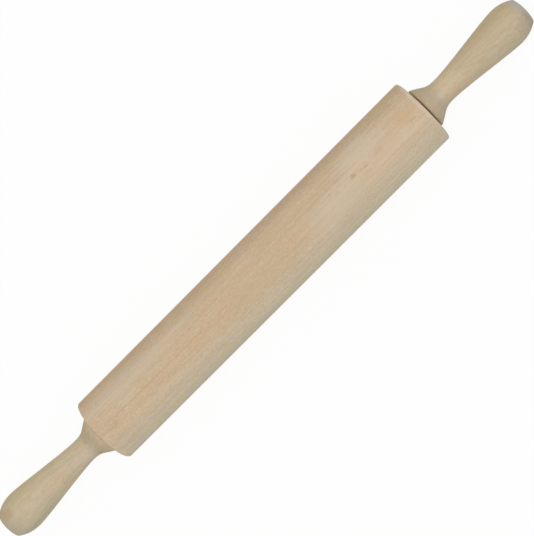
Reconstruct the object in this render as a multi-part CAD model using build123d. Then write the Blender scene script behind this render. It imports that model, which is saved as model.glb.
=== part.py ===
from build123d import *
import os
from math import asin, cos, degrees, radians, sin

# Rolling pin whose barrel turns on two ball bearings between a pair of turned handles.
# The pin lies along X. The origin is on the spin axis at the middle of the barrel. Lengths are in mm.

# Barrel
barrel_length = 305.0
barrel_diameter = 50.4
barrel_rim_radius = 1.5
barrel_bore_room = 3.0
pocket_mouth_chamfer = 0.3

# Handle, measured from the flange face towards the tip
handle_length = 92.5
flange_diameter = 31.5
flange_lip_radius = 1.3
neck_station = 17.9
neck_diameter = 18.1
grip_diameter = 29.6
grip_end_length = 16.4
end_diameter = 20.7
end_dome_height = 1.5
flare_angle = 27.0
end_turn_angle = 32.5
flare_shares = (0.57, 0.50)
grip_shares = (0.21, 0.165)
end_shares = (0.44, 0.53)

# Ball bearing
bearing_bore_diameter = 8.0
bearing_outer_diameter = 22.0
bearing_width = 7.0
bearing_edge_chamfer = 0.3
bearing_recess = 0.7
ball_share = 0.567
ball_count = 7
ball_clearance = 0.04
groove_radius_share = 0.52
groove_depth_share = 0.14
cage_side_clearance = 0.5
cage_end_clearance = 0.35
cage_pocket_clearance = 0.12
cage_mouth_share = 0.65
shield_thickness = 0.4
shield_inset = 0.15
shield_recess_depth = 0.65
shield_clearance = 0.15

# Axle rod, washers and threaded inserts
axle_clearance = 0.05
axle_shoulder_chamfer = 0.2
end_float = 0.5
thread_diameter = 6.0
thread_pitch = 1.0
thread_depth = 0.55
thread_clearance = 0.05
thread_setback = 1.5
washer_diameter = 12.0
washer_thickness = 1.6
washer_clearance = 0.2
insert_length = 14.0
insert_wall = 2.0
insert_barb_pitch = 2.0
insert_barb_depth = 0.5
drill_allowance = 2.0
drill_point_angle = 59.0
crest_share = 0.25

# Fit of what is pressed or screwed into wood, and the overrun of the cuts
seat_clearance = 0.01
overrun = 1.0

# Stations along X, from the middle of the pin outwards
barrel_end = barrel_length / 2
bearing_face = barrel_end - bearing_recess
bearing_centre = bearing_face - bearing_width / 2
axle_shoulder = bearing_face + end_float
flange_face = axle_shoulder + washer_thickness
stud_tip = flange_face + insert_length - thread_setback

# Radii of the bearing, from the bore outwards
axle_radius = bearing_bore_diameter / 2 - axle_clearance
race_section = (bearing_outer_diameter - bearing_bore_diameter) / 2
ball_diameter = ball_share * race_section
ball_radius = ball_diameter / 2
pitch_radius = (bearing_bore_diameter + bearing_outer_diameter) / 4
ball_reach = ball_radius + ball_clearance
shoulder_reach = ball_reach - groove_depth_share * ball_diameter
groove_radius = groove_radius_share * ball_diameter
inner_shoulder_radius = pitch_radius - shoulder_reach
outer_shoulder_radius = pitch_radius + shoulder_reach
shield_seat = bearing_width / 2 - shield_inset - shield_thickness


def turned(points):
    """Solid turned about the X axis from the corners of its half section."""
    return revolve(make_face(Polyline(*points, close=True)), Axis.X)


def ring(start, end, inner_radius, outer_radius):
    """Plain ring about the X axis between two stations."""
    return turned([(start, inner_radius), (start, outer_radius), (end, outer_radius), (end, inner_radius)])


def groove(centre_radius):
    """Ring of round section about the X axis, at the middle of the bearing."""
    section = Pos(bearing_centre, centre_radius) * Circle(groove_radius)
    return revolve(section, Axis.X)


def ridges(start, end, crest_radius, depth, pitch):
    """Corners of a row of flat-topped ridges along X, as stations and radii."""
    count = max(1, round((end - start) / pitch))
    step = (end - start) / count
    slope = step * (1 - crest_share) / 2
    corners = []
    for index in range(count):
        low = start + index * step
        corners.append((low, crest_radius - depth))
        corners.append((low + slope, crest_radius))
        corners.append((low + step - slope, crest_radius))
    corners.append((end, crest_radius - depth))
    return corners


def barrel():
    """Barrel with rounded rims, a through bore and a bearing pocket in each end."""
    radius = barrel_diameter / 2
    rim = barrel_end - barrel_rim_radius
    shoulder = radius - barrel_rim_radius
    outline = Line((barrel_end, 0), (barrel_end, shoulder))
    outline += CenterArc((rim, shoulder), barrel_rim_radius, 0, 90)
    outline += Line((rim, radius), (-rim, radius))
    outline += CenterArc((-rim, shoulder), barrel_rim_radius, 90, 90)
    outline += Line((-barrel_end, shoulder), (-barrel_end, 0))
    outline += Line((-barrel_end, 0), (barrel_end, 0))
    wood = revolve(make_face(outline), Axis.X)
    bore_end = barrel_end + overrun
    wood -= ring(-bore_end, bore_end, 0, axle_radius + barrel_bore_room)
    pocket = bearing_pocket()
    wood -= pocket
    wood -= mirror(pocket, Plane.YZ)
    return wood


def bearing_pocket():
    """Cut for the right-hand bearing, widened at its mouth."""
    seat = bearing_face - bearing_width
    radius = bearing_outer_diameter / 2 + seat_clearance
    mouth = barrel_end - pocket_mouth_chamfer
    outside = barrel_end + overrun
    widest = radius + outside - mouth
    return turned([(seat, 0), (seat, radius), (mouth, radius), (outside, widest), (outside, 0)])


def handle():
    """Right-hand handle: a flange, a flare to the neck, a swelling grip and a shallow dome."""
    lip = flange_face + flange_lip_radius
    neck = flange_face + neck_station
    tip = flange_face + handle_length
    widest = tip - grip_end_length
    edge = tip - end_dome_height
    flange_radius = flange_diameter / 2
    neck_radius = neck_diameter / 2
    grip_radius = grip_diameter / 2
    edge_radius = end_diameter / 2

    fall = flare_shares[0] * (neck - lip)
    flare = Bezier(
        (lip, flange_radius),
        (lip + fall * cos(radians(flare_angle)), flange_radius - fall * sin(radians(flare_angle))),
        (neck - flare_shares[1] * (neck - lip), neck_radius),
        (neck, neck_radius),
    )
    grip = Bezier(
        (neck, neck_radius),
        (neck + grip_shares[0] * (widest - neck), neck_radius),
        (widest - grip_shares[1] * (widest - neck), grip_radius),
        (widest, grip_radius),
    )
    turn = end_shares[1] * (grip_radius - edge_radius) / sin(radians(end_turn_angle))
    shoulder = Bezier(
        (widest, grip_radius),
        (widest + end_shares[0] * (edge - widest), grip_radius),
        (edge - turn * cos(radians(end_turn_angle)), edge_radius + turn * sin(radians(end_turn_angle))),
        (edge, edge_radius),
    )
    dome_radius = (edge_radius**2 + end_dome_height**2) / (2 * end_dome_height)
    dome = CenterArc((tip - dome_radius, 0), dome_radius, 0, degrees(asin(edge_radius / dome_radius)))
    rounding = CenterArc((lip, flange_radius - flange_lip_radius), flange_lip_radius, 90, 90)
    face = Line((flange_face, flange_radius - flange_lip_radius), (flange_face, 0))
    axis = Line((flange_face, 0), (tip, 0))
    wood = revolve(make_face(rounding + flare + grip + shoulder + dome + face + axis), Axis.X)
    return wood - insert_pocket()


def insert_pocket():
    """Cut in the handle that holds the ridges of the threaded insert, with a drill point."""
    outer = insert_ridges(seat_clearance)
    drill_radius = outer[-1][1]
    bottom = flange_face + insert_length + drill_allowance
    point = bottom + drill_radius * cos(radians(drill_point_angle)) / sin(radians(drill_point_angle))
    mouth = [(flange_face - overrun, 0), (flange_face - overrun, outer[0][1])]
    return turned(mouth + outer + [(bottom, drill_radius), (point, 0)])


def insert_ridges(clearance):
    """Corners of the insert's outer ridges, from the flange face inwards."""
    crest = thread_diameter / 2 + insert_wall + clearance
    return ridges(flange_face, flange_face + insert_length, crest, insert_barb_depth, insert_barb_pitch)


def thread_ridges(end, clearance):
    """Corners of the axle's thread, from the flange face to a station."""
    crest = thread_diameter / 2 + clearance
    return ridges(flange_face, end, crest, thread_depth, thread_pitch)


def threaded_insert():
    """Insert screwed into the handle, with the axle's thread inside."""
    bore = thread_ridges(stud_tip, thread_clearance)
    run_out = (flange_face + insert_length, bore[-1][1])
    return turned(insert_ridges(0) + [run_out] + bore[::-1])


def axle_rod():
    """Rod with a shoulder and a threaded stud at each end."""
    stud = thread_ridges(stud_tip, 0)
    root = stud[-1][1]
    right = [
        (axle_shoulder - axle_shoulder_chamfer, axle_radius),
        (axle_shoulder, axle_radius - axle_shoulder_chamfer),
        (axle_shoulder, root),
    ]
    right += stud
    right += [(stud_tip, 0)]
    left = [(-station, radius) for station, radius in reversed(right)]
    return turned(left + right)


def washer():
    """Washer between the axle's shoulder and the flange of the handle."""
    hole_radius = thread_diameter / 2 + washer_clearance
    return ring(axle_shoulder, flange_face, hole_radius, washer_diameter / 2)


def outer_race():
    """Outer bearing race, with a ball groove and a step for each shield."""
    start = bearing_centre - bearing_width / 2
    race = ring(start, bearing_face, outer_shoulder_radius, bearing_outer_diameter / 2)
    rims = race.edges().filter_by(GeomType.CIRCLE).sort_by(SortBy.RADIUS)[-2:]
    race = chamfer(rims, bearing_edge_chamfer)
    step_radius = outer_shoulder_radius + shield_recess_depth
    race -= ring(bearing_centre + shield_seat, bearing_face + overrun, 0, step_radius)
    race -= ring(start - overrun, bearing_centre - shield_seat, 0, step_radius)
    return race - groove(pitch_radius + ball_reach - groove_radius)


def inner_race():
    """Inner bearing race, with a ball groove and chamfered bore."""
    start = bearing_centre - bearing_width / 2
    race = ring(start, bearing_face, bearing_bore_diameter / 2, inner_shoulder_radius)
    rims = race.edges().filter_by(GeomType.CIRCLE).sort_by(SortBy.RADIUS)[:2]
    race = chamfer(rims, bearing_edge_chamfer)
    return race - groove(pitch_radius - ball_reach + groove_radius)


def ball_places():
    """Places of the balls round the X axis, at the middle of the bearing."""
    middle = Plane.YZ.offset(bearing_centre)
    return middle * PolarLocations(pitch_radius, ball_count)


def bearing_balls():
    """The balls of one bearing, as separate solids."""
    return Compound([place * Sphere(ball_radius) for place in ball_places()])


def ball_cage():
    """Crown cage: a ring with a snap-in pocket for each ball, open on its outer side."""
    back = bearing_centre - shield_seat + cage_end_clearance
    front = bearing_centre + cage_mouth_share * ball_radius
    inner_radius = inner_shoulder_radius + cage_side_clearance
    outer_radius = outer_shoulder_radius - cage_side_clearance
    cage = ring(back, front, inner_radius, outer_radius)
    for place in ball_places():
        cage -= place * Sphere(ball_radius + cage_pocket_clearance)
    return cage


def dust_shield(side):
    """Thin shield on one side of the bearing: 1 is outboard and -1 is inboard."""
    seat = bearing_centre + side * shield_seat
    face = seat + side * shield_thickness
    inner_radius = inner_shoulder_radius + shield_clearance
    outer_radius = outer_shoulder_radius + shield_recess_depth - seat_clearance
    return ring(min(seat, face), max(seat, face), inner_radius, outer_radius)


def both_sides(name, piece):
    """Right-hand piece and its mirror image, under their node names."""
    return {"right_" + name: piece, "left_" + name: mirror(piece, Plane.YZ)}


def pieces():
    """Every piece of the pin by node name."""
    made = {"barrel": barrel(), "axle_rod": axle_rod()}
    made |= both_sides("handle", handle())
    made |= both_sides("threaded_insert", threaded_insert())
    made |= both_sides("washer", washer())
    made |= both_sides("outer_race", outer_race())
    made |= both_sides("inner_race", inner_race())
    made |= both_sides("bearing_balls", bearing_balls())
    made |= both_sides("ball_cage", ball_cage())
    made |= both_sides("outer_dust_shield", dust_shield(1))
    made |= both_sides("inner_dust_shield", dust_shield(-1))
    return made


os.makedirs("parts", exist_ok=True)
for node, piece in pieces().items():
    export_step(piece, "parts/" + node + ".step")
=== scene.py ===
import logging
import math
from dataclasses import dataclass, field
from enum import Enum
from typing import Any, Iterable

import bmesh
import bpy
from mathutils import Matrix, Vector


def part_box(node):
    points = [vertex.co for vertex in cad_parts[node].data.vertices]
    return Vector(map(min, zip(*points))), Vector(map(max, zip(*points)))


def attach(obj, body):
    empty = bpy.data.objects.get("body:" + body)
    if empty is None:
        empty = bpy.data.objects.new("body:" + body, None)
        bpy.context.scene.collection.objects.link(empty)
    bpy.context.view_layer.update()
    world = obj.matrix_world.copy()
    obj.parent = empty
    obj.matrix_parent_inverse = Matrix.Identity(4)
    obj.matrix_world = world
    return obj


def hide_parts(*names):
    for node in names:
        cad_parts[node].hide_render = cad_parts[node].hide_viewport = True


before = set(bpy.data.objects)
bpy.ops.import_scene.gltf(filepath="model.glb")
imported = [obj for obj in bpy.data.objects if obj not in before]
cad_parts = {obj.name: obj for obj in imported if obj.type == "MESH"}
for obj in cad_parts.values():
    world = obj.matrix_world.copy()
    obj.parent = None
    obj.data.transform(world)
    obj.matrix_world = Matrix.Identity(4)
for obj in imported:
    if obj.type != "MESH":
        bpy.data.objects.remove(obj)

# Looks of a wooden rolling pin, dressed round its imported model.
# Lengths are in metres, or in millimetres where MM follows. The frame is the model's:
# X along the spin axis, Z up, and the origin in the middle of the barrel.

MM = 0.001
FULL_TURN = 2 * math.pi
SEAM = 0.0005 * MM
SLIVER = 1e-7
CREASE = math.radians(35)
WHITE = (1.0, 1.0, 1.0, 1.0)
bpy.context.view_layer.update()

Colour = tuple[float, float, float]
Rise = tuple[float, float]
Outline = list[tuple[float, float]]
Socket = bpy.types.NodeSocket
Place = tuple[Socket, Socket, Socket]

log = logging.getLogger("rolling_pin")


class Side(Enum):
    """The two ends of the pin. The value is the direction of the end along X."""

    LEFT = -1
    RIGHT = 1

    def node(self, piece: str) -> str:
        """Name of this end's node for a piece."""
        return f"{self.name.lower()}_{piece}"


class Lines(Enum):
    """Which way the fine tool marks run on a metal piece."""

    ALONG = "along the axis"
    AROUND = "around the axis"
    ACROSS = "rings on the flat faces"


@dataclass(frozen=True)
class Waves:
    """A noise: its waves to one of each coordinate, its detail, and the values that it rises between."""

    counts: tuple[float, float, float]
    detail: float
    roughness: float = 0.5
    rise: Rise | None = None


class NodeSheet:
    """A node tree under construction, with one short method for each kind of node."""

    def __init__(self, tree: bpy.types.NodeTree) -> None:
        """Starts from an empty tree."""
        self.tree = tree
        self.tree.nodes.clear()

    def add(
        self, kind: str, inputs: dict[str | int, Any] | None = None, **settings: Any
    ) -> bpy.types.Node:
        """Adds one node.

        Args:
            kind: The node's type name.
            inputs: Sockets to link from, or plain values, by input name or number.
            settings: Properties of the node.

        Returns:
            The new node.
        """
        node = self.tree.nodes.new(kind)
        for name, value in settings.items():
            setattr(node, name, value)
        for key, value in (inputs or {}).items():
            if isinstance(value, Socket):
                self.tree.links.new(value, node.inputs[key])
            else:
                node.inputs[key].default_value = value
        return node

    def math(self, operation: str, *values: Socket | float, clamp: bool = False) -> Socket:
        """One step of arithmetic on sockets or numbers, held between 0 and 1 where clamp is set."""
        node = self.add("ShaderNodeMath", dict(enumerate(values)), operation=operation, use_clamp=clamp)
        return node.outputs[0]

    def product(self, first: Socket, *others: Socket) -> Socket:
        """Several sockets multiplied with each other.

        Args:
            first: The first of them.
            others: The rest, in order.

        Returns:
            Their product.
        """
        for other in others:
            first = self.math("MULTIPLY", first, other)
        return first

    def at_least(self, share: Socket, least: float) -> Socket:
        """Share from 0 to 1 as one from a least value to 1."""
        return self.math("MULTIPLY_ADD", share, 1.0 - least, least)

    def around_one(self, noise: Socket, contrast: float) -> Socket:
        """Noise of mean one half as a brightness of mean one."""
        return self.math("MULTIPLY_ADD", noise, 2 * contrast, 1.0 - contrast)

    def vector(self, x: Socket | float, y: Socket | float, z: Socket | float) -> Socket:
        """Vector of three sockets or numbers."""
        return self.add("ShaderNodeCombineXYZ", {0: x, 1: y, 2: z}).outputs[0]

    def split(self, vector: Socket) -> Place:
        """The three components of a vector."""
        outputs = self.add("ShaderNodeSeparateXYZ", {0: vector}).outputs
        return outputs[0], outputs[1], outputs[2]

    def polar(self, across: Socket, up: Socket) -> tuple[Socket, Socket]:
        """Distance from an axis and the angle round it."""
        square = self.math("MULTIPLY_ADD", across, across, self.math("MULTIPLY", up, up))
        return self.math("SQRT", square), self.math("ARCTAN2", up, across)

    def span(self, value: Socket, low: float, high: float) -> Socket:
        """Smooth rise from 0 to 1 as a value goes from low to high."""
        inputs = {"Value": value, "From Min": low, "From Max": high}
        return self.add("ShaderNodeMapRange", inputs, interpolation_type="SMOOTHSTEP").outputs[0]

    def noise(self, place: Place, waves: Waves, seed: float = 0.0) -> bpy.types.Node:
        """Noise texture over three coordinates.

        Args:
            place: The coordinates.
            waves: The noise.
            seed: Shift along the first coordinate, which picks a pattern.

        Returns:
            The texture's node.
        """
        first = self.math("MULTIPLY_ADD", place[0], waves.counts[0], seed)
        others = [self.math("MULTIPLY", value, count) for value, count in zip(place[1:], waves.counts[1:])]
        inputs = {"Scale": 1.0, "Detail": waves.detail, "Roughness": waves.roughness}
        return self.add("ShaderNodeTexNoise", {"Vector": self.vector(first, *others), **inputs})

    def cloud(self, place: Place, waves: Waves, seed: float = 0.0) -> Socket:
        """Value of a noise from 0 to 1, with its rise where it has one."""
        value = self.noise(place, waves, seed).outputs[0]
        return self.span(value, *waves.rise) if waves.rise else value

    def blend(self, factor: Socket | float, first: Socket | Colour, second: Socket | Colour) -> Socket:
        """Mix of two colours.

        Args:
            factor: Share of the second colour.
            first: The first colour.
            second: The second colour.

        Returns:
            The mixed colour.
        """
        mix = self.add("ShaderNodeMix", {0: factor}, data_type="RGBA")
        for socket, colour in ((mix.inputs[6], first), (mix.inputs[7], second)):
            if isinstance(colour, Socket):
                self.tree.links.new(colour, socket)
            else:
                socket.default_value = (*colour, 1.0)
        return mix.outputs[2]

    def tint(
        self, colour: Socket | Colour, over: Colour, share: Socket, strength: Socket | float
    ) -> Socket:
        """Colour with a share of another over it, held back by a strength."""
        return self.blend(self.math("MULTIPLY", share, strength), colour, over)

    def dim(self, colour: Socket, strength: Socket) -> Socket:
        """Colour times a number."""
        node = self.add("ShaderNodeVectorMath", {0: colour, "Scale": strength}, operation="SCALE")
        return node.outputs[0]


class MaterialSheet(NodeSheet):
    """A material under construction."""

    def __init__(self, name: str) -> None:
        """Starts from an empty material.

        Args:
            name: Name of the material.
        """
        self.material = bpy.data.materials.new(name)
        self.material.use_nodes = True
        super().__init__(self.material.node_tree)

    def bump(self, height: Socket, strength: float, depth: float) -> Socket:
        """Normal of a surface with small heights on it."""
        inputs = {"Height": height, "Strength": strength, "Distance": depth}
        return self.add("ShaderNodeBump", inputs).outputs[0]

    def surface(self, inputs: dict[str, Any]) -> bpy.types.Material:
        """Ends the sheet with its surface shader.

        Args:
            inputs: Inputs of the shader, by name.

        Returns:
            The finished material.
        """
        shader = self.add("ShaderNodeBsdfPrincipled", inputs)
        self.add("ShaderNodeOutputMaterial", {"Surface": shader.outputs[0]})
        return self.material


@dataclass(frozen=True)
class Mark:
    """A small mark as a soft ellipse on the upper side, in millimetres: some are natural marks in the
    wood, others painted shade, painted highlights and painted reflections.
    """

    x: float
    y: float
    length: float
    width: float
    strength: float
    colour: Colour


@dataclass(frozen=True)
class WoodPattern:
    """What the wood of every piece has in common: the sizes of its patterns and how much they show."""

    wandering: Waves = Waves((5.0, 22.0, 22.0), 1.5)
    clearness: Waves = Waves((12.0, 48.0, 48.0), 1.0, 0.6, (0.38, 0.62))
    ring_drift: Waves = Waves((2.0, 130.0, 1.5), 2.0)
    streaks: Waves = Waves((14.0, 560.0, 560.0), 2.0, 0.6, (0.30, 0.72))
    fibres: Waves = Waves((330.0, 1000.0, 1000.0), 2.0, 0.6)
    grain: Waves = Waves((950.0, 1300.0, 1300.0), 1.0, 0.6)
    mottle: Waves = Waves((32.0, 150.0, 150.0), 2.0, 0.6)
    patches: Waves = Waves((130.0, 300.0, 300.0), 1.0, 0.6)
    pores: Waves = Waves((260.0, 4800.0, 4800.0), 0.0, 0.6, (0.58, 0.72))
    flecks: Waves = Waves((330.0, 70.0, 60.0), 1.0, rise=(0.60, 0.74))
    flush_cloud: Waves = Waves((9.0, 75.0, 75.0), 2.0, 0.6, (0.20, 0.70))
    end_rays: Waves = Waves((0.0, 90.0, 60.0), 2.0)
    end_pores: Waves = Waves((0.0, 2600.0, 2600.0), 1.0)
    patch_rise: Rise = (0.50, 0.75)
    # upper_rise, lower_drift and cool_start shape the drift across the board, which holds painted shade
    # and painted cool light on the upper side.
    upper_rise: Rise = (0.08, 0.40)
    end_rise: Rise = (0.62, 0.85)
    faintest_rings: float = 0.25
    palest_ring: float = 0.25
    ring_end: float = 0.88
    flush_core: float = 0.15
    lower_drift: float = 0.35
    cool_start: float = 0.15
    fleck_contrast: float = 0.20
    fibre_feather: float = 4.0
    streak_feather: float = 0.6
    feather_level: float = -2.3
    end_tint_feather: float = 0.15
    mark_fade: float = 5.0 * MM
    mark_edge: float = 1.7
    end_share: float = 0.6
    end_brightness: float = 1.08
    end_ring_contrast: float = 0.55
    end_ray_contrast: float = 0.12
    end_pore_contrast: float = 0.16
    fibre_height: float = 0.5
    ring_height: float = 0.25
    bump_strength: float = 0.3
    bump_depth: float = 0.04 * MM
    streak_roughness: float = 0.08
    pore_roughness: float = 0.12
    specular: float = 0.20


@dataclass(frozen=True)
class WoodFinish:
    """Bare fine-sanded pale hardwood, with its grain in three dimensions."""

    name: str
    reach: float
    pale: Colour
    # warm and cool drift across the board: partly the wood's tone, partly painted shade and painted cool
    # light on the sides; cool also tints the cool patches.
    warm: Colour
    cool: Colour
    late: Colour
    flush: Colour
    end: Colour
    pith: tuple[float, float]
    lean: tuple[float, float]
    ring_width: float
    flush_centre: float
    flush_width: float
    flush_amount: float
    seed: float
    marks: tuple[Mark, ...] = ()
    tip: float = 152.5 * MM
    # The ends' tint: by default a painted highlight along the rim's rounding at the barrel's ends.
    end_tint_reach: float = 1.6 * MM
    end_tint_strength: float = 0.7
    end_tint: Colour = (0.690, 0.560, 0.430)
    drift_start: float = 0.45
    wander: float = 2.4 * MM
    unevenness: float = 2.2
    ring_contrast: float = 0.36
    ring_sharpness: float = 3.0
    streak_contrast: float = 0.27
    fibre_contrast: float = 0.09
    grain_contrast: float = 0.19
    patch_contrast: float = 0.30
    pore_contrast: float = 0.06
    mottle_contrast: float = 0.08
    roughness: float = 0.66

    pattern: WoodPattern = WoodPattern()

    def material(self) -> bpy.types.Material:
        """Wood from growth rings, streaks, fibres, pores and ray flecks."""
        return WoodSheet(self).build()


class WoodSheet(MaterialSheet):
    """A wood under construction, coloured by where each point lies in the grain."""

    def __init__(self, finish: WoodFinish) -> None:
        """Finds where a point lies: along the grain, across it with its wander, and about the pith.

        Args:
            finish: The finish of the wood.
        """
        super().__init__(finish.name)
        self.finish = finish
        self.pattern = finish.pattern
        place = self.add("ShaderNodeTexCoord").outputs
        self.normal = place["Normal"]
        self.x, self.y, self.z = self.split(place["Object"])
        self.y_grain, self.z_grain = self.wandering()
        self.radius, self.turn = self.about_pith()

    def build(self) -> bpy.types.Material:
        """Lays the patterns over each other, and the marks and the cut ends over them.

        Returns:
            The finished material.
        """
        finish, pattern = self.finish, self.pattern
        late = self.at_least(self.stretched(pattern.clearness), pattern.faintest_rings)
        late = self.math("MULTIPLY", self.rings(), late)
        streak = self.stretched(pattern.streaks)
        fibre = self.stretched(pattern.fibres)
        pores = self.stretched(pattern.pores)

        colour = self.blend(self.flush_share(), self.board_tone_and_painted_shade(), finish.flush)
        colour = self.tint(colour, finish.late, late, finish.ring_contrast)
        colour = self.tint(colour, finish.late, streak, finish.streak_contrast)
        colour = self.tint(colour, finish.late, self.flecks(), pattern.fleck_contrast)
        colour = self.patched(colour)
        colour = self.dim(colour, self.product(
            self.around_one(self.stretched(pattern.mottle), finish.mottle_contrast),
            self.around_one(fibre, finish.fibre_contrast),
            self.around_one(self.stretched(pattern.grain), finish.grain_contrast),
            self.math("MULTIPLY_ADD", pores, -finish.pore_contrast, 1.0),
        ))
        feather = self.math("MULTIPLY_ADD", fibre, pattern.fibre_feather, pattern.feather_level)
        feather = self.math("MULTIPLY_ADD", streak, pattern.streak_feather, feather)
        colour = self.tinted_ends(colour, feather)
        colour = self.with_marks(colour, feather)

        height = self.math("MULTIPLY", fibre, pattern.fibre_height)
        height = self.math("MULTIPLY_ADD", pores, -1.0, height)
        height = self.math("MULTIPLY_ADD", late, pattern.ring_height, height)
        rough = self.math("MULTIPLY_ADD", streak, pattern.streak_roughness, finish.roughness)
        return self.surface({
            "Base Color": self.end_grain(colour, late),
            "Roughness": self.math("MULTIPLY_ADD", pores, pattern.pore_roughness, rough),
            "Specular IOR Level": pattern.specular,
            "Normal": self.bump(height, pattern.bump_strength, pattern.bump_depth),
        })

    def wandering(self) -> tuple[Socket, Socket]:
        """Moves the grain slowly sideways along the piece.

        Returns:
            Y and Z with the wander.
        """
        slow = self.noise((self.x, self.y, self.z), self.pattern.wandering, self.finish.seed)
        shift_y, shift_z, _ = self.split(slow.outputs["Color"])
        reach = 2 * self.finish.wander
        return (
            self.math("MULTIPLY_ADD", self.math("SUBTRACT", shift_y, 0.5), reach, self.y),
            self.math("MULTIPLY_ADD", self.math("SUBTRACT", shift_z, 0.5), reach, self.z),
        )

    def about_pith(self) -> tuple[Socket, Socket]:
        """Follows the pith, which leans along the piece.

        Returns:
            The distance from the pith and the angle round it.
        """
        lean, pith = self.finish.lean, self.finish.pith
        middle_y = self.math("MULTIPLY_ADD", self.x, lean[0], pith[0])
        middle_z = self.math("MULTIPLY_ADD", self.x, lean[1], pith[1])
        across = self.math("SUBTRACT", self.y_grain, middle_y)
        return self.polar(across, self.math("SUBTRACT", self.z_grain, middle_z))

    def stretched(self, waves: Waves) -> Socket:
        """Noise drawn out along the grain."""
        return self.cloud((self.x, self.y_grain, self.z_grain), waves, self.finish.seed)

    def flecks(self) -> Socket:
        """Ray flecks, thin plates that stand out from the pith."""
        return self.cloud((self.x, self.turn, self.radius), self.pattern.flecks, self.finish.seed)

    def rings(self) -> Socket:
        """Share of dark late wood, which rises slowly in each ring and ends abruptly.

        Returns:
            The share, from 0 to 1.
        """
        finish, pattern = self.finish, self.pattern
        uneven = self.cloud((self.x, self.radius, self.turn), pattern.ring_drift, finish.seed)
        count = self.math("DIVIDE", self.radius, finish.ring_width)
        count = self.math("MULTIPLY_ADD", uneven, finish.unevenness, count)
        part = self.math("FRACT", count)
        rise = self.math("POWER", part, finish.ring_sharpness)
        fall = self.math("SUBTRACT", 1.0, self.span(part, pattern.ring_end, 1.0))
        number = {"W": self.math("FLOOR", count)}
        shade = self.add("ShaderNodeTexWhiteNoise", number, noise_dimensions="1D").outputs[0]
        return self.product(rise, fall, self.at_least(shade, pattern.palest_ring))

    def board_tone_and_painted_shade(self) -> Socket:
        """Base colour, which drifts from warm to cool across the board, mostly in its upper half: partly
        the wood's own tone, partly painted shade, darker and warmer on the +Y side, with a painted cool
        light on the −Y side.

        Returns:
            The base colour.
        """
        finish, pattern = self.finish, self.pattern
        upper = self.span(self.math("DIVIDE", self.z, finish.reach), *pattern.upper_rise)
        upper = self.at_least(upper, pattern.lower_drift)
        share = self.math("DIVIDE", self.y, finish.reach)
        warm = self.span(share, finish.drift_start, 1.0)
        cool = self.span(self.math("MULTIPLY", share, -1.0), pattern.cool_start, 1.0)
        return self.tint(self.tint(finish.pale, finish.warm, warm, upper), finish.cool, cool, upper)

    def flush_share(self) -> Socket:
        """Orange flush, a cloudy band along the grain.

        Returns:
            Its share of the colour.
        """
        finish, pattern = self.finish, self.pattern
        offset = self.math("ABSOLUTE", self.math("SUBTRACT", self.y_grain, finish.flush_centre))
        edge = self.span(offset, pattern.flush_core * finish.flush_width, finish.flush_width)
        band = self.math("SUBTRACT", 1.0, edge)
        share = self.math("MULTIPLY", band, self.stretched(pattern.flush_cloud))
        return self.math("MULTIPLY", share, finish.flush_amount, clamp=True)

    def patched(self, colour: Socket) -> Socket:
        """Lays small warm and cool patches over a colour.

        Args:
            colour: The colour under them.

        Returns:
            The colour with the patches.
        """
        finish, rise = self.finish, self.pattern.patch_rise
        patch = self.stretched(self.pattern.patches)
        warm = self.span(patch, *rise)
        cool = self.span(self.math("SUBTRACT", 1.0, patch), *rise)
        colour = self.tint(colour, finish.flush, warm, finish.patch_contrast)
        return self.tint(colour, finish.cool, cool, finish.patch_contrast)

    def tinted_ends(self, colour: Socket, feather: Socket) -> Socket:
        """Tints the wood at both ends: a painted highlight along the barrel's rims, a painted grey
        reflection on the right-hand handle's domed end, and darker towards the tip on the left-hand
        handle.

        Args:
            colour: Colour of the wood without the tint.
            feather: Noise along the grain, which feathers the edge.

        Returns:
            The colour with its tinted ends.
        """
        finish = self.finish
        past = self.math("SUBTRACT", self.math("ABSOLUTE", self.x), finish.tip - finish.end_tint_reach)
        past = self.math("DIVIDE", past, finish.end_tint_reach)
        past = self.math("MULTIPLY_ADD", feather, self.pattern.end_tint_feather, past)
        return self.tint(colour, finish.end_tint, self.span(past, 0.0, 1.0), finish.end_tint_strength)

    def with_marks(self, colour: Socket, feather: Socket) -> Socket:
        """Lays the marks over a colour, on the upper side only: natural marks in the wood, painted shade,
        painted highlights and painted reflections.

        Args:
            colour: Colour of the wood without marks.
            feather: Noise along the grain, which feathers the marks.

        Returns:
            The colour with its marks.
        """
        upper = self.span(self.z, 0.0, self.pattern.mark_fade)
        for mark in self.finish.marks:
            along = self.math("SUBTRACT", self.x, mark.x * MM)
            along = self.math("DIVIDE", along, mark.length * MM / 2)
            across = self.math("SUBTRACT", self.y_grain, mark.y * MM)
            across = self.math("DIVIDE", across, mark.width * MM / 2)
            square = self.math("MULTIPLY_ADD", along, along, self.math("MULTIPLY", across, across))
            square = self.math("ADD", square, feather)
            share = self.math("SUBTRACT", 1.0, self.span(square, 0.0, self.pattern.mark_edge))
            colour = self.tint(colour, mark.colour, self.math("MULTIPLY", share, upper), mark.strength)
        return colour

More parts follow.
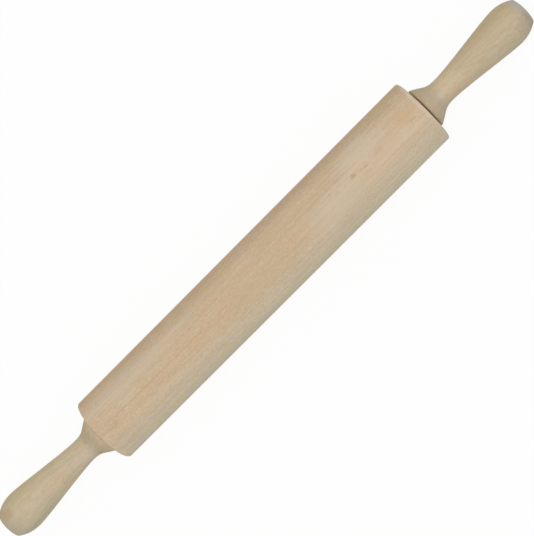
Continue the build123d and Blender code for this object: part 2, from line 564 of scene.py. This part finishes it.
    def end_grain(self, colour: Socket, late: Socket) -> Socket:
        """Duller wood with rings, rays and open pores where the surface cuts across the grain.

        Args:
            colour: Colour of the wood along the grain.
            late: Share of late wood.

        Returns:
            The colour with the cut ends.
        """
        finish, pattern = self.finish, self.pattern
        rays = self.cloud((self.x, self.turn, self.radius), pattern.end_rays, finish.seed)
        light = self.product(
            self.math("MULTIPLY_ADD", late, -pattern.end_ring_contrast, pattern.end_brightness),
            self.around_one(rays, pattern.end_ray_contrast),
            self.around_one(self.stretched(pattern.end_pores), pattern.end_pore_contrast),
        )
        along, _, _ = self.split(self.normal)
        facing = self.span(self.math("ABSOLUTE", along), *pattern.end_rise)
        end = self.dim(self.blend(pattern.end_share, colour, finish.end), light)
        return self.blend(facing, colour, end)


LINE_WAVES = {
    Lines.ALONG: Waves((60.0, 0.0, 260.0), 3.0, 0.65),
    Lines.AROUND: Waves((9000.0, 9000.0, 1.2), 3.0, 0.65),
    Lines.ACROSS: Waves((300.0, 7000.0, 1.5), 3.0, 0.65),
}


@dataclass(frozen=True)
class MetalFinish:
    """Metal with the fine lines of its making and slight stains."""

    name: str
    bright: Colour
    stain: Colour
    lines: Lines
    roughness: float
    line_depth: float
    stains: Waves = Waves((240.0, 240.0, 240.0), 4.0, 0.6, (0.42, 0.70))
    stain_share: float = 0.35
    stain_roughness: float = 0.25
    line_contrast: float = 0.08
    line_roughness: float = 0.11
    line_strength: float = 0.4

    def material(self) -> bpy.types.Material:
        """Metal with lines in its height and roughness, and stains in its colour.

        Returns:
            The finished material.
        """
        sheet = MaterialSheet(self.name)
        x, y, z = sheet.split(sheet.add("ShaderNodeTexCoord").outputs["Object"])
        lines = sheet.cloud((x, *sheet.polar(y, z)), LINE_WAVES[self.lines])
        stained = sheet.math("MULTIPLY", sheet.cloud((x, y, z), self.stains), self.stain_share)
        colour = sheet.blend(stained, self.bright, self.stain)
        smoothest = self.roughness - self.line_roughness
        rough = sheet.math("MULTIPLY_ADD", lines, 2 * self.line_roughness, smoothest)
        return sheet.surface({
            "Base Color": sheet.dim(colour, sheet.around_one(lines, self.line_contrast)),
            "Metallic": 1.0,
            "Roughness": sheet.math("MULTIPLY_ADD", stained, self.stain_roughness, rough, clamp=True),
            "Normal": sheet.bump(lines, self.line_strength, self.line_depth),
        })


@dataclass(frozen=True)
class NylonFinish:
    """Natural moulded nylon, milky, with faint flow marks."""

    name: str
    milky: Colour
    yellowed: Colour
    flow: Waves = Waves((500.0, 500.0, 500.0), 3.0, rise=(0.35, 0.70))
    grain: Waves = Waves((9000.0, 9000.0, 9000.0), 2.0)
    grain_strength: float = 0.3
    grain_depth: float = 0.01 * MM
    grain_roughness: float = 0.12
    roughness: float = 0.38
    glow: float = 0.15
    glow_reach: Colour = (1.0 * MM, 0.9 * MM, 0.7 * MM)

    def material(self) -> bpy.types.Material:
        """Nylon with flow marks and a fine moulded texture.

        Returns:
            The finished material.
        """
        sheet = MaterialSheet(self.name)
        place = sheet.split(sheet.add("ShaderNodeTexCoord").outputs["Object"])
        grain = sheet.cloud(place, self.grain)
        return sheet.surface({
            "Base Color": sheet.blend(sheet.cloud(place, self.flow), self.milky, self.yellowed),
            "Roughness": sheet.math("MULTIPLY_ADD", grain, self.grain_roughness, self.roughness),
            "Subsurface Weight": self.glow,
            "Subsurface Radius": self.glow_reach,
            "Normal": sheet.bump(grain, self.grain_strength, self.grain_depth),
        })


KNOT_BROWN = (0.38, 0.23, 0.11)
ROSE = (0.62, 0.40, 0.27)
AMBER = (0.62, 0.43, 0.23)
CREAM = (0.650, 0.550, 0.415)
# Painted highlight on the rim's rounding.
PAINTED_RIM_HIGHLIGHT = (0.760, 0.610, 0.475)
ASHEN = (0.640, 0.570, 0.470)
OLIVE = (0.440, 0.355, 0.225)
RUSSET = (0.480, 0.330, 0.210)
# Darker tone towards the left-hand handle's tip.
TIP_DARKENING = (0.460, 0.405, 0.310)
# Painted grey reflection on the rounding of a handle's domed end.
PAINTED_GREY_SHEEN = (0.472, 0.428, 0.345)
# Painted grey reflection.
PAINTED_GREY_REFLECTION = (0.455, 0.450, 0.425)
STRAW = (0.700, 0.565, 0.375)
# Painted shade.
PAINTED_SHADE = (0.460, 0.375, 0.295)
# Deeper painted shade.
PAINTED_DEEP_SHADE = (0.360, 0.310, 0.250)
TAN = (0.500, 0.375, 0.200)
FLUSHED = (0.560, 0.400, 0.250)

BARREL_WOOD = WoodFinish(
    name="barrel wood",
    reach=25.2 * MM,
    pale=(0.640, 0.505, 0.345),
    warm=(0.535, 0.388, 0.238),
    cool=(0.620, 0.540, 0.400),
    late=(0.500, 0.350, 0.205),
    flush=(0.645, 0.465, 0.305),
    end=(0.460, 0.340, 0.225),
    pith=(-0.042, -0.050),
    lean=(0.004, 0.006),
    ring_width=1.1 * MM,
    flush_centre=3.0 * MM,
    flush_width=17.0 * MM,
    flush_amount=0.95,
    seed=3.7,
    marks=(
        Mark(66.0, -3.0, 52.0, 18.0, 0.50, CREAM),
        Mark(102.0, 11.0, 38.0, 16.0, 0.60, CREAM),
        Mark(118.0, 0.0, 60.0, 16.0, 0.25, STRAW),
        Mark(0.0, -5.4, 90.0, 11.0, 0.35, FLUSHED),
        Mark(0.0, 7.0, 120.0, 30.0, 0.22, FLUSHED),
        Mark(106.0, 0.0, 100.0, 26.0, 0.22, CREAM),
        Mark(-110.0, 14.5, 90.0, 12.0, 0.42, CREAM),
        # Painted highlight along the upper rim of the right-hand end.
        Mark(151.4, 5.0, 3.4, 36.0, 0.50, PAINTED_RIM_HIGHLIGHT),
        Mark(139.0, 4.7, 15.0, 9.0, 0.45, AMBER),
        Mark(111.9, 2.7, 8.0, 4.0, 0.55, ROSE),
        Mark(88.3, 2.0, 5.0, 2.6, 0.45, KNOT_BROWN),
        Mark(94.5, 1.3, 7.0, 1.0, 0.25, KNOT_BROWN),
        Mark(99.1, 0.7, 4.0, 1.8, 0.30, KNOT_BROWN),
        Mark(142.2, 0.7, 6.0, 0.8, 0.35, KNOT_BROWN),
        Mark(68.8, 4.0, 1.6, 1.0, 0.45, KNOT_BROWN),
        Mark(-96.3, 3.4, 8.0, 4.0, 0.50, ROSE),
        Mark(-105.7, 4.7, 11.0, 7.0, 0.40, AMBER),
        Mark(-60.6, -1.7, 9.0, 5.0, 0.40, AMBER),
        Mark(-140.8, -1.7, 8.0, 4.0, 0.22, KNOT_BROWN),
        Mark(-95.0, 8.4, 90.0, 1.6, 0.22, RUSSET),
        Mark(62.0, 7.2, 70.0, 1.6, 0.24, RUSSET),
        Mark(130.0, 5.3, 40.0, 1.4, 0.16, RUSSET),
        Mark(-98.0, 2.0, 80.0, 1.6, 0.28, RUSSET),
        Mark(-40.0, 1.4, 50.0, 1.4, 0.14, RUSSET),
        Mark(45.0, 1.3, 70.0, 1.4, 0.18, RUSSET),
        Mark(-100.0, -3.0, 60.0, 1.4, 0.14, RUSSET),
        Mark(26.0, -4.6, 26.0, 1.4, 0.16, RUSSET),
    ),
)
HANDLE_WOOD = {
    Side.LEFT: WoodFinish(
        name="left handle wood",
        reach=14.8 * MM,
        pale=(0.620, 0.520, 0.362),
        warm=(0.542, 0.460, 0.268),
        cool=(0.482, 0.455, 0.307),
        late=(0.480, 0.345, 0.210),
        flush=(0.640, 0.480, 0.340),
        end=(0.470, 0.365, 0.245),
        pith=(-0.045, -0.022),
        lean=(0.030, -0.020),
        ring_width=1.3 * MM,
        flush_centre=-1.0 * MM,
        flush_width=11.0 * MM,
        flush_amount=0.55,
        seed=21.3,
        tip=244.0 * MM,
        end_tint_reach=14.0 * MM,
        end_tint_strength=0.75,
        # Darker towards the tip.
        end_tint=TIP_DARKENING,
        drift_start=0.12,
        patch_contrast=0.50,
        streak_contrast=0.36,
        fibre_contrast=0.05,
        grain_contrast=0.11,
        marks=(
            Mark(-162.3, 1.0, 9.0, 60.0, 0.70, OLIVE),
            Mark(-157.0, 2.0, 4.0, 30.0, 0.12, AMBER),
            # Painted light on the flange's lip, lifting the shade of the gap beside the barrel.
            Mark(-154.6, 0.0, 3.0, 40.0, 0.50, STRAW),
            Mark(-172.0, -3.0, 24.0, 9.0, 0.26, ASHEN),
            Mark(-238.0, 5.5, 10.0, 7.0, 0.85, TAN),
            Mark(-241.0, 10.0, 6.0, 5.0, 0.50, TAN),
        ),
    ),
    Side.RIGHT: WoodFinish(
        name="right handle wood",
        reach=14.8 * MM,
        pale=(0.616, 0.508, 0.338),
        warm=(0.518, 0.420, 0.240),
        cool=(0.524, 0.463, 0.318),
        late=(0.450, 0.320, 0.195),
        flush=(0.605, 0.465, 0.310),
        end=(0.440, 0.325, 0.210),
        pith=(0.016, -0.0723),
        lean=(0.0, 0.18),
        ring_width=0.75 * MM,
        flush_centre=0.0,
        flush_width=12.0 * MM,
        flush_amount=0.45,
        seed=44.9,
        tip=243.5 * MM,
        end_tint_reach=5.5 * MM,
        end_tint_strength=0.85,
        # Painted grey reflection on the dome's rounding.
        end_tint=PAINTED_GREY_SHEEN,
        drift_start=0.12,
        unevenness=0.5,
        ring_contrast=0.64,
        ring_sharpness=2.0,
        patch_contrast=0.42,
        streak_contrast=0.30,
        fibre_contrast=0.04,
        grain_contrast=0.09,
        marks=(
            Mark(174.0, 0.5, 26.0, 14.0, 0.45, STRAW),
            # Painted shade on the flare, which faces away from the lamp.
            Mark(161.0, 1.0, 14.0, 60.0, 0.35, PAINTED_SHADE),
            Mark(167.0, -1.7, 5.5, 4.5, 0.45, ASHEN),
            # Painted shade on the flare's −Y side.
            Mark(163.5, -7.0, 8.0, 10.0, 0.22, PAINTED_SHADE),
            # Painted grey reflection near the tip, on the +Y side.
            Mark(243.0, 7.0, 8.0, 18.0, 0.45, PAINTED_GREY_REFLECTION),
            # Painted shade on the −Y side of the tip.
            Mark(239.5, -7.5, 16.0, 11.0, 0.60, PAINTED_SHADE),
            # Deeper painted shade on the −Y side of the tip.
            Mark(243.5, -8.5, 8.0, 16.0, 0.42, PAINTED_DEEP_SHADE),
            Mark(242.5, -5.0, 4.0, 4.0, 0.35, RUSSET),
        ),
    ),
}
AXLE_STEEL = MetalFinish(
    "drawn steel", (0.50, 0.50, 0.51), (0.30, 0.28, 0.26), Lines.ALONG, 0.34, 0.004 * MM
)
WASHER_ZINC = MetalFinish(
    "zinc plating", (0.66, 0.68, 0.70), (0.50, 0.49, 0.44), Lines.ACROSS, 0.30, 0.003 * MM
)
RACE_STEEL = MetalFinish(
    "ground bearing steel", (0.58, 0.58, 0.60), (0.44, 0.42, 0.40), Lines.AROUND, 0.22, 0.001 * MM
)
BALL_STEEL = MetalFinish(
    "polished ball steel", (0.66, 0.66, 0.68), (0.56, 0.55, 0.54), Lines.AROUND, 0.13, 0.0002 * MM
)
SHIELD_STEEL = MetalFinish(
    "pressed shield steel", (0.52, 0.52, 0.53), (0.40, 0.39, 0.37), Lines.ACROSS, 0.36, 0.003 * MM
)
INSERT_BRASS = MetalFinish(
    "turned brass", (0.72, 0.52, 0.23), (0.42, 0.28, 0.12), Lines.AROUND, 0.28, 0.002 * MM
)
CAGE_NYLON = NylonFinish("natural nylon", (0.72, 0.69, 0.58), (0.62, 0.56, 0.41))


def straight(start: tuple[float, float], end: tuple[float, float], steps: int) -> Outline:
    """Points on a straight line, with its start and without its end.

    Args:
        start: The first point.
        end: The point that the line goes up to.
        steps: How many points it has.

    Returns:
        The points.
    """
    return [
        (start[0] + (end[0] - start[0]) * step / steps, start[1] + (end[1] - start[1]) * step / steps)
        for step in range(steps)
    ]


def arc(centre: tuple[float, float], radius: float, start: float, end: float, steps: int) -> Outline:
    """Points on an arc, with its start and without its end.

    Args:
        centre: The arc's centre, as a station along X and a distance from the axis.
        radius: The arc's radius.
        start: The angle of its start in degrees, counted from +X.
        end: The angle of its end in degrees.
        steps: How many points it has.

    Returns:
        The points.
    """
    angles = [math.radians(start + (end - start) * step / steps) for step in range(steps)]
    return [
        (centre[0] + radius * math.cos(angle), centre[1] + radius * math.sin(angle)) for angle in angles
    ]


def curve_back(corners: Outline, steps: int) -> Outline:
    """Points on a cubic curve, from its end back towards its start, with the end and without the start.

    Args:
        corners: Its start, the two points that it leans to, and its end.
        steps: How many points it has.

    Returns:
        The points.
    """
    points = []
    for step in range(steps, 0, -1):
        share = step / steps
        rest = 1 - share
        weights = (rest**3, 3 * rest * rest * share, 3 * rest * share * share, share**3)
        points.append(tuple(
            sum(weight * corner[axis] for weight, corner in zip(weights, corners)) for axis in (0, 1)
        ))
    return points


class TurningTree:
    """Geometry Nodes tree that turns an outline about the X axis into a closed skin."""

    def __init__(self) -> None:
        """Builds the tree, with inputs for the number of flats, the seam and the finish."""
        self.group = bpy.data.node_groups.new("turned outline", "GeometryNodeTree")
        face = self.group.interface
        face.new_socket("Outline", in_out="INPUT", socket_type="NodeSocketGeometry")
        self.flats = face.new_socket("Flats", in_out="INPUT", socket_type="NodeSocketInt")
        self.seam = face.new_socket("Seam", in_out="INPUT", socket_type="NodeSocketFloat")
        self.finish = face.new_socket("Finish", in_out="INPUT", socket_type="NodeSocketMaterial")
        face.new_socket("Skin", in_out="OUTPUT", socket_type="NodeSocketGeometry")
        sheet = NodeSheet(self.group)
        given = sheet.add("NodeGroupInput").outputs
        rows = sheet.add("GeometryNodeAttributeDomainSize", {0: given["Outline"]}, component="MESH")
        columns = sheet.math("ADD", given["Flats"], 1.0)
        grid = sheet.add("GeometryNodeMeshGrid", {
            "Vertices X": rows.outputs["Point Count"],
            "Vertices Y": columns,
        })
        index = sheet.add("GeometryNodeInputIndex").outputs[0]
        row = sheet.math("FLOOR", sheet.math("DIVIDE", sheet.math("ADD", index, 0.5), columns))
        column = sheet.math("SUBTRACT", index, sheet.math("MULTIPLY", row, columns))
        sample = sheet.add("GeometryNodeSampleIndex", {
            "Geometry": given["Outline"],
            "Value": sheet.add("GeometryNodeInputPosition").outputs[0],
            "Index": row,
        }, data_type="FLOAT_VECTOR")
        station, reach, _ = sheet.split(sample.outputs[0])
        angle = sheet.math("DIVIDE", sheet.math("MULTIPLY", column, FULL_TURN), given["Flats"])
        place = sheet.vector(
            station,
            sheet.math("MULTIPLY", reach, sheet.math("COSINE", angle)),
            sheet.math("MULTIPLY", reach, sheet.math("SINE", angle)),
        )
        skin = sheet.add("GeometryNodeSetPosition", {"Geometry": grid.outputs["Mesh"], "Position": place})
        skin = sheet.add("GeometryNodeMergeByDistance", {0: skin.outputs[0], "Distance": given["Seam"]})
        skin = sheet.add("GeometryNodeSetShadeSmooth", {0: skin.outputs[0]})
        skin = sheet.add("GeometryNodeRealizeInstances", {0: skin.outputs[0]})
        skin = sheet.add("GeometryNodeSetMaterial", {0: skin.outputs[0], "Material": given["Finish"]})
        sheet.add("NodeGroupOutput", {0: skin.outputs[0]})

    def turn(
        self, name: str, outline: Outline, flats: int, material: bpy.types.Material
    ) -> bpy.types.Object:
        """Turns an outline into a piece.

        Args:
            name: Name of the piece.
            outline: Its half section, as stations along X and distances from the axis.
            flats: How many flats go round it.
            material: Its finish.

        Returns:
            The piece, as a plain mesh at the origin.
        """
        mesh = bpy.data.meshes.new(name)
        edges = [(first, first + 1) for first in range(len(outline) - 1)]
        mesh.from_pydata([(station, reach, 0.0) for station, reach in outline], edges, [])
        piece = bpy.data.objects.new(name, mesh)
        bpy.context.scene.collection.objects.link(piece)
        modifier = piece.modifiers.new("turning", "NODES")
        modifier.node_group = self.group
        modifier[self.flats.identifier] = flats
        modifier[self.seam.identifier] = SEAM
        modifier[self.finish.identifier] = material
        return baked(piece)


def baked(piece: bpy.types.Object) -> bpy.types.Object:
    """Turns a piece's live nodes into a plain closed mesh with its faces outwards.

    Args:
        piece: A piece with one modifier.

    Returns:
        The same piece without its modifier.
    """
    graph = bpy.context.evaluated_depsgraph_get()
    mesh = bpy.data.meshes.new_from_object(piece.evaluated_get(graph), depsgraph=graph)
    piece.modifiers.clear()
    piece.data = mesh
    mesh.name = piece.name
    work = bmesh.new()
    work.from_mesh(mesh)
    bmesh.ops.dissolve_degenerate(work, dist=SLIVER, edges=work.edges)
    bmesh.ops.recalc_face_normals(work, faces=work.faces)
    work.to_mesh(mesh)
    work.free()
    mesh.set_sharp_from_angle(angle=CREASE)
    return piece


@dataclass
class Barrel:
    """The wooden barrel that rolls, with its bore and two bearing pockets."""

    turning: TurningTree
    rim_radius: float = 1.5 * MM
    bore_room: float = 3.0 * MM
    mouth_chamfer: float = 0.3 * MM
    seat_room: float = 0.01 * MM
    flats: int = 256
    bore_steps: int = 8
    shoulder_steps: int = 2
    pocket_steps: int = 3
    face_steps: int = 6
    rim_steps: int = 12
    length_steps: int = 60

    def outline(self) -> Outline:
        """Half section of the barrel, once round from the middle of its bore.

        Returns:
            Its points.
        """
        _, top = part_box("barrel")
        seat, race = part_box(Side.RIGHT.node("outer_race"))
        _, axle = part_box("axle_rod")
        bore = axle.y + self.bore_room
        pocket = race.y + self.seat_room
        mouth = top.x - self.mouth_chamfer
        wide = pocket + self.mouth_chamfer
        rim = top.x - self.rim_radius
        half = straight((0.0, bore), (seat.x, bore), self.bore_steps)
        half += straight((seat.x, bore), (seat.x, pocket), self.shoulder_steps)
        half += straight((seat.x, pocket), (mouth, pocket), self.pocket_steps)
        half += [(mouth, pocket)]
        half += straight((top.x, wide), (top.x, top.y - self.rim_radius), self.face_steps)
        half += arc((rim, top.y - self.rim_radius), self.rim_radius, 0, 90, self.rim_steps)
        half += straight((rim, top.y), (0.0, top.y), self.length_steps)
        half += [(0.0, top.y)]
        return half + [(-station, reach) for station, reach in reversed(half)]

    def build(self) -> list[bpy.types.Object]:
        """Makes the barrel and puts it on its body.

        Returns:
            Its one piece.
        """
        piece = self.turning.turn("barrel_wood", self.outline(), self.flats, BARREL_WOOD.material())
        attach(piece, "barrel")
        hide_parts("barrel")
        return [piece]


@dataclass
class Handle:
    """A turned handle: flange, flared neck, swelling grip and shallow domed end."""

    turning: TurningTree
    side: Side
    lip_radius: float = 1.3 * MM
    neck_station: float = 17.9 * MM
    neck_radius: float = 9.05 * MM
    grip_radius: float = 14.8 * MM
    grip_end_length: float = 16.4 * MM
    end_radius: float = 10.35 * MM
    dome_height: float = 1.5 * MM
    flare_angle: float = 27.0
    end_turn_angle: float = 32.5
    flare_shares: tuple[float, float] = (0.57, 0.50)
    grip_shares: tuple[float, float] = (0.21, 0.165)
    end_shares: tuple[float, float] = (0.44, 0.53)
    pocket_room: float = 0.01 * MM
    hole_depth: float = 2.0 * MM
    drill_depth: float = 4.7 * MM
    flats: int = 192
    dome_steps: int = 16
    end_steps: int = 24
    grip_steps: int = 48
    flare_steps: int = 24
    lip_steps: int = 8
    face_steps: int = 6
    hole_steps: int = 8

    def outline(self) -> Outline:
        """Half section of the right-hand handle, from its dome back to the bottom of its blind hole.

        Returns:
            Its points.
        """
        face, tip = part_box(Side.RIGHT.node("handle"))
        _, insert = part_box(Side.RIGHT.node("threaded_insert"))
        flange = tip.y
        lip = face.x + self.lip_radius
        neck = face.x + self.neck_station
        widest = tip.x - self.grip_end_length
        edge = tip.x - self.dome_height
        reach = neck - lip
        fall = self.flare_shares[0] * reach
        flare_turn = math.radians(self.flare_angle)
        end_turn = math.radians(self.end_turn_angle)
        turn = self.end_shares[1] * (self.grip_radius - self.end_radius) / math.sin(end_turn)
        dome = (self.end_radius**2 + self.dome_height**2) / (2 * self.dome_height)
        dome_span = math.degrees(math.asin(self.end_radius / dome))
        hole = insert.y + self.pocket_room
        hole_end = insert.x + self.hole_depth

        points = arc((tip.x - dome, 0.0), dome, 0, dome_span, self.dome_steps)
        points += curve_back([
            (widest, self.grip_radius),
            (widest + self.end_shares[0] * (edge - widest), self.grip_radius),
            (edge - turn * math.cos(end_turn), self.end_radius + turn * math.sin(end_turn)),
            (edge, self.end_radius),
        ], self.end_steps)
        points += curve_back([
            (neck, self.neck_radius),
            (neck + self.grip_shares[0] * (widest - neck), self.neck_radius),
            (widest - self.grip_shares[1] * (widest - neck), self.grip_radius),
            (widest, self.grip_radius),
        ], self.grip_steps)
        points += curve_back([
            (lip, flange),
            (lip + fall * math.cos(flare_turn), flange - fall * math.sin(flare_turn)),
            (neck - self.flare_shares[1] * reach, self.neck_radius),
            (neck, self.neck_radius),
        ], self.flare_steps)
        points += arc((lip, flange - self.lip_radius), self.lip_radius, 90, 180, self.lip_steps)
        points += straight((face.x, flange - self.lip_radius), (face.x, hole), self.face_steps)
        points += straight((face.x, hole), (hole_end, hole), self.hole_steps)
        return points + [(hole_end, hole), (insert.x + self.drill_depth, 0.0)]

    def build(self) -> list[bpy.types.Object]:
        """Makes the handle and puts it on its body.

        Returns:
            Its one piece.
        """
        outline = [(self.side.value * station, reach) for station, reach in self.outline()]
        name = self.side.node("handle")
        finish = HANDLE_WOOD[self.side].material()
        piece = self.turning.turn(name + "_wood", outline, self.flats, finish)
        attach(piece, "handles")
        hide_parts(name)
        return [piece]


@dataclass
class Axle:
    """The steel rod with its washers and the brass inserts that its studs screw into."""

    rod: MetalFinish = AXLE_STEEL
    washer: MetalFinish = WASHER_ZINC
    insert: MetalFinish = INSERT_BRASS

    def build(self) -> list[bpy.types.Object]:
        """Dresses the axle's own nodes."""
        rod = [dress("axle_rod", self.rod.material())]
        return rod + dress_both("washer", self.washer) + dress_both("threaded_insert", self.insert)


@dataclass
class Bearings:
    """The two ball bearings: races, balls, cages and dust shields."""

    finishes: dict[str, MetalFinish | NylonFinish] = field(default_factory=lambda: {
        "outer_race": RACE_STEEL,
        "inner_race": RACE_STEEL,
        "bearing_balls": BALL_STEEL,
        "ball_cage": CAGE_NYLON,
        "outer_dust_shield": SHIELD_STEEL,
        "inner_dust_shield": SHIELD_STEEL,
    })

    def build(self) -> list[bpy.types.Object]:
        """Dresses the bearings' own nodes."""
        return [piece for kind, finish in self.finishes.items() for piece in dress_both(kind, finish)]


def dress(node: str, material: bpy.types.Material) -> bpy.types.Object:
    """Gives a node of the model its finish, and leaves its shape alone.

    Args:
        node: Name of the node.
        material: Its finish.

    Returns:
        The node's object.
    """
    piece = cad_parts[node]
    piece.data.materials.clear()
    piece.data.materials.append(material)
    return piece


def dress_both(kind: str, finish: MetalFinish | NylonFinish) -> list[bpy.types.Object]:
    """Gives a kind of piece its finish at both ends."""
    material = finish.material()
    return [dress(side.node(kind), material) for side in Side]


@dataclass
class Studio:
    """White floor, soft light and the camera of a product photograph from above."""

    camera_distance: float = 0.946
    camera_lean: float = 4.07
    focal_pixels: float = 1404.0
    frame_width: int = 534
    frame_height: int = 536
    pin_angle: float = 45.07
    origin_right: float = -5.1
    origin_up: float = -4.2
    sensor: float = 36.0
    near_clip: float = 0.01
    floor_size: float = 6.0
    floor_level: float = field(default_factory=lambda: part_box("barrel")[0].z)
    floor_shade: Colour = (0.94, 0.94, 0.94)
    floor_white: float = 0.93
    world_light: float = 0.56
    lamp_place: tuple[float, float, float] = (0.0, 0.10, 1.60)
    lamp_size: float = 1.3
    lamp_watts: float = 11.5

    def build(self) -> list[bpy.types.Object]:
        """Makes the floor, the world, the lamp and the camera.

        Returns:
            The floor.
        """
        floor = self.floor()
        self.world()
        self.lamp()
        self.camera()
        return [floor]

    def seen(self, sheet: NodeSheet) -> Socket:
        """Tells what the camera sees from what only gives light.

        Args:
            sheet: The sheet of the floor or the world.

        Returns:
            1 where the camera sees it, straight, in a mirror or through glass.
        """
        path = sheet.add("ShaderNodeLightPath").outputs
        seen = sheet.math("MAXIMUM", path["Is Camera Ray"], path["Is Glossy Ray"])
        return sheet.math("MAXIMUM", seen, path["Is Transmission Ray"])

    def floor(self) -> bpy.types.Object:
        """White floor that shows white to the camera and keeps a faint shadow.

        Returns:
            The floor.
        """
        half = self.floor_size / 2
        mesh = bpy.data.meshes.new("floor")
        corners = [(-half, -half), (half, -half), (half, half), (-half, half)]
        mesh.from_pydata([(x, y, self.floor_level) for x, y in corners], [], [(0, 1, 2, 3)])
        floor = bpy.data.objects.new("floor", mesh)
        bpy.context.scene.collection.objects.link(floor)
        sheet = MaterialSheet("white floor")
        share = sheet.math("MULTIPLY", self.seen(sheet), self.floor_white)
        plain = sheet.add("ShaderNodeBsdfDiffuse", {"Color": (*self.floor_shade, 1.0)})
        white = sheet.add("ShaderNodeEmission", {"Color": WHITE, "Strength": 1.0})
        both = sheet.add("ShaderNodeMixShader", {0: share, 1: plain.outputs[0], 2: white.outputs[0]})
        sheet.add("ShaderNodeOutputMaterial", {"Surface": both.outputs[0]})
        mesh.materials.append(sheet.material)
        return floor

    def world(self) -> None:
        """Even light from all round, which the camera sees as white."""
        world = bpy.data.worlds.new("studio")
        world.use_nodes = True
        sheet = NodeSheet(world.node_tree)
        dim = sheet.add("ShaderNodeBackground", {"Color": WHITE, "Strength": self.world_light})
        white = sheet.add("ShaderNodeBackground", {"Color": WHITE, "Strength": 1.0})
        shares = {0: self.seen(sheet), 1: dim.outputs[0], 2: white.outputs[0]}
        both = sheet.add("ShaderNodeMixShader", shares)
        sheet.add("ShaderNodeOutputWorld", {"Surface": both.outputs[0]})
        bpy.context.scene.world = world

    def lamp(self) -> None:
        """Square soft lamp that faces the middle of the pin."""
        light = bpy.data.lights.new("soft_box", "AREA")
        light.shape = "SQUARE"
        light.size = self.lamp_size
        light.energy = self.lamp_watts
        lamp = bpy.data.objects.new("soft_box", light)
        lamp.location = self.lamp_place
        lamp.rotation_euler = (-Vector(self.lamp_place)).to_track_quat("-Z", "Y").to_euler()
        bpy.context.scene.collection.objects.link(lamp)

    def camera(self) -> None:
        """Camera above the pin, leaning a little towards its right-hand end."""
        lean = math.radians(self.camera_lean)
        turn = math.radians(self.pin_angle)
        place = Vector((math.sin(lean), 0.0, math.cos(lean))) * self.camera_distance
        ahead = -place.normalized()
        along = Vector((1.0, 0.0, 0.0))
        along = (along - ahead * along.dot(ahead)).normalized()
        across = ahead.cross(along)
        right = along * math.cos(turn) + across * math.sin(turn)
        up = right.cross(ahead)
        ahead = (ahead * self.focal_pixels - right * self.origin_right - up * self.origin_up).normalized()
        right = (right - ahead * right.dot(ahead)).normalized()
        up = right.cross(ahead)
        data = bpy.data.cameras.new("camera")
        data.sensor_width = self.sensor
        data.lens = self.sensor * self.focal_pixels / max(self.frame_width, self.frame_height)
        data.clip_start = self.near_clip
        camera = bpy.data.objects.new("camera", data)
        camera.matrix_world = Matrix((
            (right.x, up.x, -ahead.x, place.x),
            (right.y, up.y, -ahead.y, place.y),
            (right.z, up.z, -ahead.z, place.z),
            (0.0, 0.0, 0.0, 1.0),
        ))
        bpy.context.scene.collection.objects.link(camera)
        bpy.context.scene.camera = camera


def report(title: str, pieces: Iterable[bpy.types.Object]) -> None:
    """Logs each piece of a sub-assembly with its number of faces."""
    for piece in pieces:
        log.info("%s: %s has %d faces", title, piece.name, len(piece.data.polygons))


def main() -> None:
    """Builds every sub-assembly in order."""
    logging.basicConfig(level=logging.INFO, format="%(name)s %(message)s")
    bpy.context.scene.view_settings.view_transform = "Standard"
    turning = TurningTree()
    report("studio", Studio().build())
    report("barrel", Barrel(turning).build())
    for side in Side:
        report("handle", Handle(turning, side).build())
    report("axle", Axle().build())
    report("bearings", Bearings().build())


if __name__ == "__main__":
    main()
